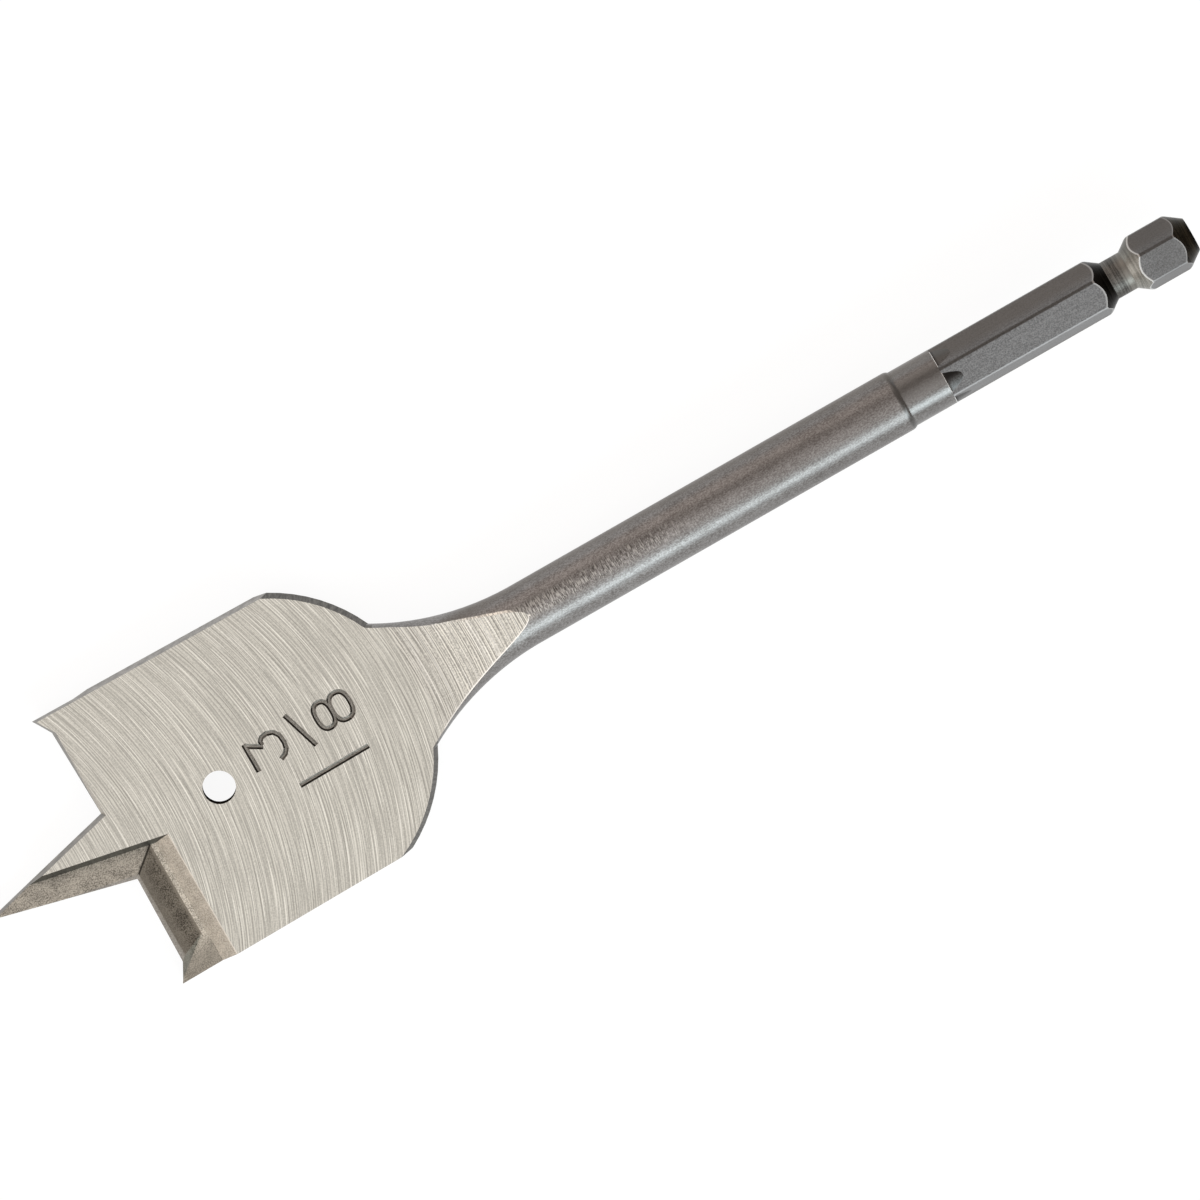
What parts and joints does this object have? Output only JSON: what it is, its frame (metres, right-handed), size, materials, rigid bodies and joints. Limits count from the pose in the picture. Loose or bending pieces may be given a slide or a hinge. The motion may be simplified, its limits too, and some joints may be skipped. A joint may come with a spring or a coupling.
{
  "type": "spade drill bit",
  "caption": "Flat spade drill bit for boring wood, with a centre point, spurred cutting lips, a hanging hole in the blade, a flared neck and a quick-change hex shank.",
  "frame": {"origin": "centre of the shank's end face, on the drill axis", "axes": "+X along the drill axis from the tip to the shank end, +Y across the blade, +Z square to the blade's marked face"},
  "size_m": [0.1587, 0.035, 0.0074],
  "materials": {
    "steel": "ground bright on both faces of the blade, matte as forged elsewhere"
  },
  "bodies": {
    "root": {"spade_bit": "steel"}
  },
  "joints": []
}
